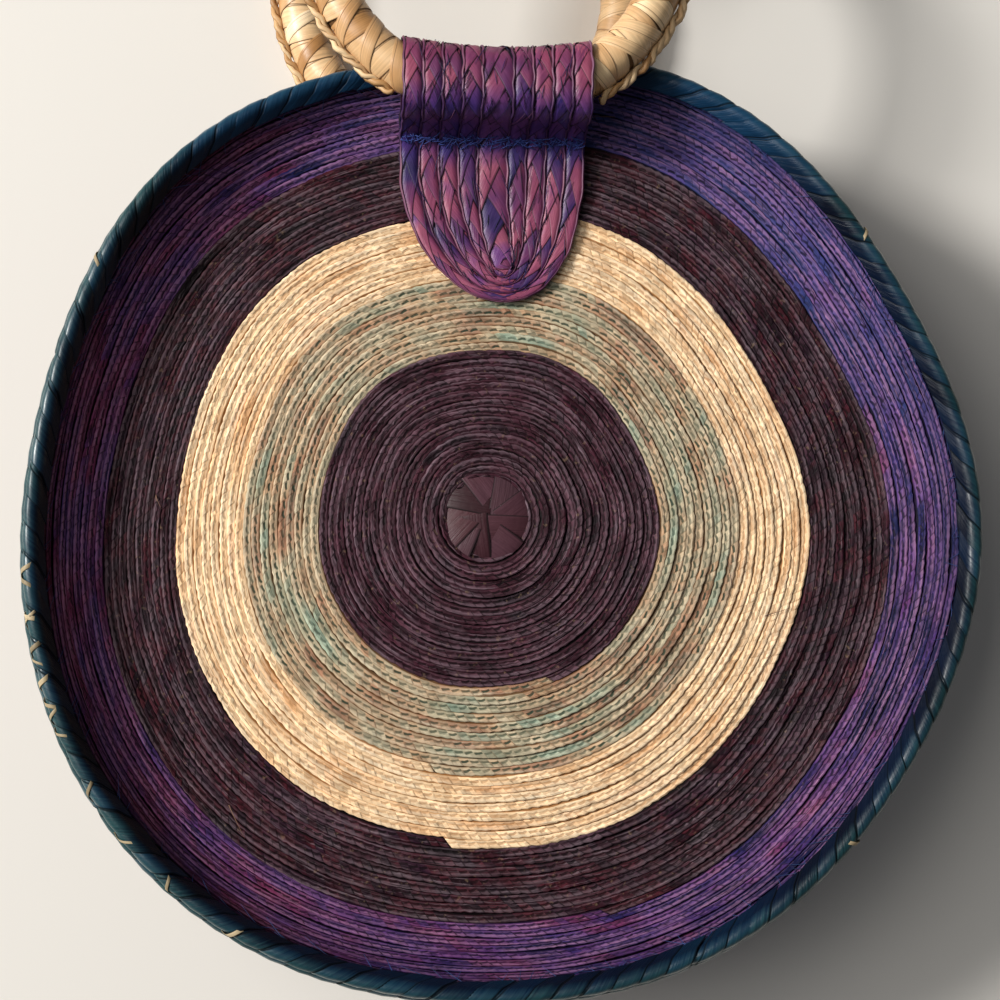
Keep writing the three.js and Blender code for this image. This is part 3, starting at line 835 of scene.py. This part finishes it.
def onTab(course, across, along, height=None):
    # along runs from the bend of the rows up over the roll, minus round the free end
    spec = course["spec"]
    straight = along >= 0
    way = course["bend"] + np.maximum(along, 0)
    turn = np.minimum(-np.minimum(along, 0) / tab["tipLength"], tab["tipTurn"]) * np.pi / 2
    c, s = np.cos(turn), np.sin(turn)
    middles = (tab["columns"][0][1], tab["columns"][1][0])
    power = np.interp(np.abs(across), middles, (tab["middlePower"], 2 / tab["roundness"]))
    x = across * np.where(straight, 1, np.sign(c) * np.abs(c) ** power)
    low = tab["tipY"] + (tab["halfWidth"] - np.abs(across)) * tab["tipPitch"]
    y = np.where(straight, np.interp(way, course["way"], course["y"]),
                 tab["bendY"] - (tab["bendY"] - low) * np.abs(s) ** (2 / tab["roundness"]))
    leaf = np.searchsorted(course["way"], course["bend"]) + 1
    z = np.where(straight, np.interp(way, course["way"], course["z"]),
                 np.interp(y, course["y"][:leaf], course["z"][:leaf]))
    follow = np.where(straight, np.interp(way, course["way"], course["follow"]), 1)
    dish = course["face"](spec["x"] + x, y) - course["face"](spec["x"], y)
    # the roll's upper side hangs a little in the middle, where the ring is lower
    hang = tab["sag"] * np.clip((y - tab["sagFrom"]) / tab["sagOver"], 0, 1)
    hang = hang * (1 - (across / tab["halfWidth"]) ** 2)
    y = y - np.where(straight, hang, 0)
    x = x + np.where(straight, 0, tab["tipSkew"] * s * s)
    point = np.stack((spec["x"] + x, y, z + follow * dish), axis=-1)
    if height is None:
        return point
    e = 0.0004
    normal = np.cross(onTab(course, across + e, along) - onTab(course, across - e, along),
                      onTab(course, across, along + e) - onTab(course, across, along - e))
    return point + unit(normal) * (spec["out"] * height)[..., None]


def tabCore(panel, course, top, out):
    name = panel + "_tab_core"
    mesh, u, v = gridMesh(name, 110, 36)
    across = (v * 2 - 1) * (tab["halfWidth"] - 0.0008)
    along = -tab["tipLength"] + (tab["tipLength"] + top) * u
    placeMesh(mesh, onTab(course, across, along, np.zeros_like(u)), v * 40, u)
    finishPiece(name, mesh, tabShade, panel + "_tab", flip=out > 0, thick=0.0016)


def tabBlades(panel, course, top, out, rng):
    # blades from ridge to ridge of a column, leaning to both sides in turn
    name, spread = panel + "_tab_blades", tab["bladeSpread"]
    middle, place, half, hand = [], [], [], []
    for side in (-1, 1):
        for centre, halfColumn in tab["columns"]:
            if centre == 0 and side > 0:
                continue
            first = -tab["tipLength"] - rng.uniform(0, 0.008)
            for i, spot in enumerate(np.arange(first, top + 0.006, tab["pitch"] * halfColumn / tab["column"])):
                middle.append(side * centre)
                place.append(spot + rng.normal(0, spread["place"]))
                half.append(halfColumn)
                hand.append(1 - 2 * (i % 2))
    middle, place, half, hand = (np.array(part) for part in (middle, place, half, hand))
    count = len(middle)
    width = tab["bladeWidth"] * (1 + rng.normal(0, spread["width"], count)) * half / tab["column"]
    rise = hand / np.tan(np.radians(tab["bladeTurn"] + rng.normal(0, spread["turn"], count)))
    mesh, number, u, v = manyGrids(name, count, 6, 4)
    off = (2 * u - 1) * (half[number] - 0.0002)
    lengthwise = rise[number] * off + (v - 0.5) * width[number]
    # every blade lies over the one before, and sinks in beside the ridges
    height = tab["low"] - tab["slope"] * lengthwise + tab["crown"] * arch(v)
    height = height - tab["groove"] * np.abs(2 * u - 1) ** 8
    along = np.minimum(place[number] + lengthwise, top)
    placeMesh(mesh, onTab(course, middle[number] + off, along, height), inStrand(number, u), 1 - v)
    finishPiece(name, mesh, tabLeaf, panel + "_tab", flip=out < 0, thick=0.00016)


def tabRidges(panel, course, top, out):
    # ridges where two columns are sewn side by side
    name = panel + "_tab_ridges"
    edges = [side * (centre + halfColumn) for side in (-1, 1) for centre, halfColumn in tab["columns"]]
    mesh, number, u, v = manyGrids(name, len(edges), 120, 4)
    wiggle = 0.00025 * np.sin(u * 60 + number * 1.7) + 0.0002 * np.sin(u * 133 + number * 0.9)
    across = np.array(edges)[number] * 0.985 + (v - 0.5) * tab["ridgeWidth"] + wiggle
    along = -tab["tipLength"] + (tab["tipLength"] + top) * u
    height = tab["ridgeHeight"] * (0.2 + 0.8 * arch(v)) * (0.9 + 0.15 * np.sin(u * 95 + number * 2.1))
    placeMesh(mesh, onTab(course, across, along, height), number * 20 + u * 18, v)
    finishPiece(name, mesh, ridgeLeaf, panel + "_tab", flip=out > 0, thick=0.0008)


def tabFibres(panel, course, top, rng):
    # split fibres along the columns, slanting as the blades do
    name, count = panel + "_tab_fibres", tab["fibres"]
    t = np.linspace(-0.5, 0.5, 6)[None, :]
    slant = np.radians(rng.choice((-1, 1), count) * rng.uniform(*tab["fibreSlant"], count))[:, None]
    long = rng.uniform(*tab["fibreLong"], count)[:, None]
    across = rng.uniform(-0.94, 0.94, count)[:, None] * tab["halfWidth"] + t * long * np.sin(slant)
    along = rng.uniform(-tab["tipLength"] * 0.8, top * 0.55, count)[:, None] + t * long * np.cos(slant)
    height = tab["fibreLift"] + 0.0003 * np.cos(np.pi * t) * rng.uniform(0, 1, count)[:, None]
    paths = onTab(course, np.clip(across, -tab["fibreHalf"], tab["fibreHalf"]), along, height)
    thick = tab["fibreThick"] * (0.35 + 0.65 * np.cos(np.pi * t)) * np.ones((count, 1))
    finishTubes(name, paths, thick, 4, tabFibre)


def tabSeam(panel, course, rng):
    # uneven thread along the seam below the roll
    name, count = panel + "_tab_seam", tab["stitches"]
    spot = np.linspace(-0.95, 0.95, count) * tab["halfWidth"] + rng.normal(0, 0.0006, count)
    seam = np.interp(tab["seamY"], course["y"][:400], course["way"][:400]) - course["bend"]
    t = np.linspace(-0.5, 0.5, 6)
    across = spot[:, None] + t * rng.normal(*tab["stitchAcross"], count)[:, None]
    along = seam + rng.normal(0, tab["stitchOff"], count)[:, None]
    along = along + t * rng.uniform(*tab["stitchAlong"], count)[:, None]
    height = tab["stitchLift"] + 0.0006 * np.cos(np.pi * t) + rng.uniform(0, 0.0003, count)[:, None]
    paths = onTab(course, np.clip(across, -tab["stitchHalf"], tab["stitchHalf"]), along, height)
    finishTubes(name, paths, np.full(paths.shape[:2], tab["stitchThick"]), 5, seamThread)


def makeTab(panel):
    rng = np.random.default_rng(tab["seed"] + len(panel))
    course = tabCourse(panel)
    top, out = course["length"], course["spec"]["out"]
    tabCore(panel, course, top, out)
    tabBlades(panel, course, top, out, rng)
    tabRidges(panel, course, top, out)
    tabFibres(panel, course, top, rng)
    tabSeam(panel, course, rng)


# the tab's stains are partly dye, partly painted light over the top of the roll and painted shade under it
tabLeaf = leafMaterial(
    "tabLeaf", tab["tones"], roughness=0.43, bump=0.45, fibres=14, shade="08040f", edgeShade=0.95, patchShare=0.42,
    fadeShare=1.3, gloss=0.42, line=0.07,
    stainsAndShading=(dict(y=0.1905, reach=0.014, share=0.55, colour="8c4058"),
            dict(y=0.1625, reach=0.011, share=0.75, colour="2c2674")))
tabShade = leafMaterial("tabShade", tab["shadeTones"], roughness=0.7, edgeShade=0.3, gloss=0.2)
# the ridges' stain under the roll is partly dye and partly painted shade
ridgeLeaf = leafMaterial(
    "ridgeLeaf", tab["ridgeTones"], roughness=0.45, bump=0.3, fibres=5, shade="12061a", edgeShade=0.9,
    stainsAndShading=(dict(y=0.1635, reach=0.014, share=0.7, colour="1c1a4c"),))
tabFibre = leafMaterial("tabFibre", tab["fibreTones"], bump=0.2, fibres=3, edgeShade=0.1, patchShare=0.1)
seamThread = leafMaterial(
    "seamThread", tab["seamTones"], roughness=0.65, bump=0.3, fibres=4, shade="101a40", edgeShade=0.2)
makeTab("front")
makeTab("back")
print("tabs done")


# lacing that joins the two bindings outside the mouth, frayed ends and loose fibres
loose = dict(
    laceFrom=187, laceTo=208, laceStep=2.3, laceFew=(38, 148, 214, 221, 229, 238, 316),  # degrees round the rim
    laceWidth=0.0017, laceLift=0.0019, laceSlants=(0.8, -1.1), laceStart=-0.0022, laceLong=0.0080, laceSink=0.0016,
    laceBack=-0.0010, laceBackLong=0.0045, laceBackLift=0.0010,
    laceSpread=0.2, frays=260, frayThick=0.00018, frayLong=(0.002, 0.0095), frayLift=0.0022,
    strays=14, strayThick=0.00014, strayLong=(0.004, 0.016), strayLift=0.0015, seed=77,
    laceTones=("5e523e", "85765a", "a89676", "c0ae8c"), frayTones=("0a1c44", "12305e", "1c3c70", "34427c"),
    strayTones=("2a1a20", "5a4038", "8a6a50"))


def makeLacing(rng):
    at = np.concatenate((np.arange(loose["laceFrom"], loose["laceTo"], loose["laceStep"]), loose["laceFew"]))
    at = at + rng.normal(0, 0.5, len(at))
    count = len(at)
    mesh, number, u, v = manyGrids("lacing", count, 12, 2)
    even, odd = loose["laceSlants"]
    slant = np.where(np.arange(count) % 2, odd, even) * (1 + rng.normal(0, loose["laceSpread"], count))
    width = loose["laceWidth"] * (1 + rng.normal(0, loose["laceSpread"], count))
    way = loose["laceStart"] + loose["laceLong"] * u
    angle = np.radians(at)[number] + (slant[number] * way + (v - 0.5) * width[number]) / bag["rim"]
    front = onFold("front", angle, way, loose["laceLift"] - loose["laceSink"] * (1 - u) ** 5)
    back = onFold("back", angle, loose["laceBack"] + loose["laceBackLong"] * u, loose["laceBackLift"])
    weight = np.clip((u - 0.6) / 0.35, 0, 1)[:, None]
    placeMesh(mesh, front * (1 - weight) + back * weight, inStrand(number, u), v)
    finishPiece("lacing", mesh, laceStraw, thick=0.0002)


def makeFrays(rng):
    count = loose["frays"]
    t = np.linspace(0, 1, 6)[None, :]
    angle = rng.uniform(0, 2 * np.pi, count)[:, None] + t * rng.normal(-0.02, 0.035, count)[:, None]
    way = fold["inner"] - 0.0012 + t * rng.uniform(*loose["frayLong"], count)[:, None]
    lift = loose["frayLift"] + 0.0005 * t * rng.normal(0, 1, count)[:, None]
    paths = onPanel(frontSurface, 1 - way / coilSides["front"]["wallLength"], angle, lift)
    thick = loose["frayThick"] * (1.1 - 0.8 * t) * np.ones((count, 1))
    finishTubes("frayed_ends", paths, thick, 4, frayLeaf)


def makeStrays(rng):
    count = loose["strays"]
    t = np.linspace(0, 1, 6)[None, :]
    share = np.sqrt(rng.uniform(0.02, 0.82, count))[:, None]
    angle = rng.uniform(0, 2 * np.pi, count)[:, None]
    angle = angle + (t - 0.5) * (rng.uniform(*loose["strayLong"], count)[:, None] / (share * 0.2))
    share = share + (t - 0.5) * rng.normal(0, 0.02, count)[:, None]
    share = share + 0.0015 * np.sin(t * 3) * rng.normal(0, 1, count)[:, None]
    lift = loose["strayLift"] + 0.0016 * np.sin(np.pi * t) * rng.uniform(0.1, 1, count)[:, None]
    paths = onPanel(frontSurface, share, angle, lift)
    thick = loose["strayThick"] * (1.2 - 0.8 * t) * np.ones((count, 1))
    finishTubes("stray_fibres", paths, thick, 4, strayStraw)


fine = dict(roughness=0.6, bump=0.2, fibres=3, edgeShade=0.1, patchShare=0.1)
laceStraw = leafMaterial(
    "laceStraw", loose["laceTones"], roughness=0.55, bump=0.3, fibres=4, shade="3a2a18", edgeShade=0.2)
frayLeaf = leafMaterial("frayLeaf", loose["frayTones"], **fine)
strayStraw = leafMaterial("strayStraw", loose["strayTones"], **fine)
looseRng = np.random.default_rng(loose["seed"])
makeLacing(looseRng)
makeFrays(looseRng)
makeStrays(looseRng)
print("lacing and fibres done")


# studio: pale floor, big soft light from the upper left, camera over the bag
studio = dict(floor="dedbd5", floorHalf=6.0, world=(0.92, 0.95, 1.0), worldPower=0.11, warm=(1.0, 0.97, 0.93),
              aim=(0, 0.05, 0.05),
              key=dict(place=(-3.3, 1.0, 2.35), size=0.9, power=225),
              fill=dict(place=(-1.9, 0.5, 2.6), size=2.2, power=40))
view = dict(centre=(0.0, 0.0005, 0.087), left=5.0, above=-6.0, away=0.85, lens=74.48,
            aimUp=0.00436, aimRight=-0.00206)


def makeStudio():
    mesh, u, v = gridMesh("floor", 8, 8)
    half = studio["floorHalf"]
    points = np.stack(((u - 0.5) * 2 * half, (v - 0.5) * 2 * half, np.zeros_like(u)), axis=-1)
    placeMesh(mesh, points, u, v)
    floor = bpy.data.objects.new("floor", mesh)
    bpy.context.scene.collection.objects.link(floor)
    material = bpy.data.materials.new("paleFloor")
    material.use_nodes = True
    shader = material.node_tree.nodes["Principled BSDF"]
    shader.inputs["Base Color"].default_value = hexColour(studio["floor"])
    shader.inputs["Roughness"].default_value = 0.9
    mesh.materials.append(material)
    world = bpy.data.worlds.new("studio")
    world.use_nodes = True
    sky = world.node_tree.nodes["Background"]
    sky.inputs[0].default_value = (*studio["world"], 1)
    sky.inputs[1].default_value = studio["worldPower"]
    bpy.context.scene.world = world
    for label in ("key", "fill"):
        spec = studio[label]
        lamp = bpy.data.lights.new(label, "AREA")
        lamp.energy = spec["power"]
        lamp.size = spec["size"]
        lamp.color = studio["warm"]
        holder = bpy.data.objects.new(label, lamp)
        holder.location = spec["place"]
        holder.rotation_euler = (Vector(studio["aim"]) - Vector(spec["place"])).to_track_quat("-Z", "Y").to_euler()
        bpy.context.scene.collection.objects.link(holder)
    bpy.context.scene.view_settings.view_transform = "Standard"


def makeCamera():
    left, above = math.radians(view["left"]), math.radians(view["above"])
    toward = Vector((-math.tan(left), math.tan(above), 1)).normalized()
    right = Vector((0, 1, 0)).cross(toward).normalized()
    up = toward.cross(right)
    place = Vector(view["centre"]) + toward * view["away"] + right * view["aimRight"] + up * view["aimUp"]
    lens = bpy.data.cameras.new("camera")
    lens.lens = view["lens"]
    lens.sensor_width = 36
    lens.clip_start = 0.01
    camera = bpy.data.objects.new("camera", lens)
    camera.matrix_world = Matrix.Translation(place) @ Matrix((right, up, toward)).transposed().to_4x4()
    bpy.context.scene.collection.objects.link(camera)
    bpy.context.scene.camera = camera


makeStudio()
makeCamera()
print("studio and camera set")
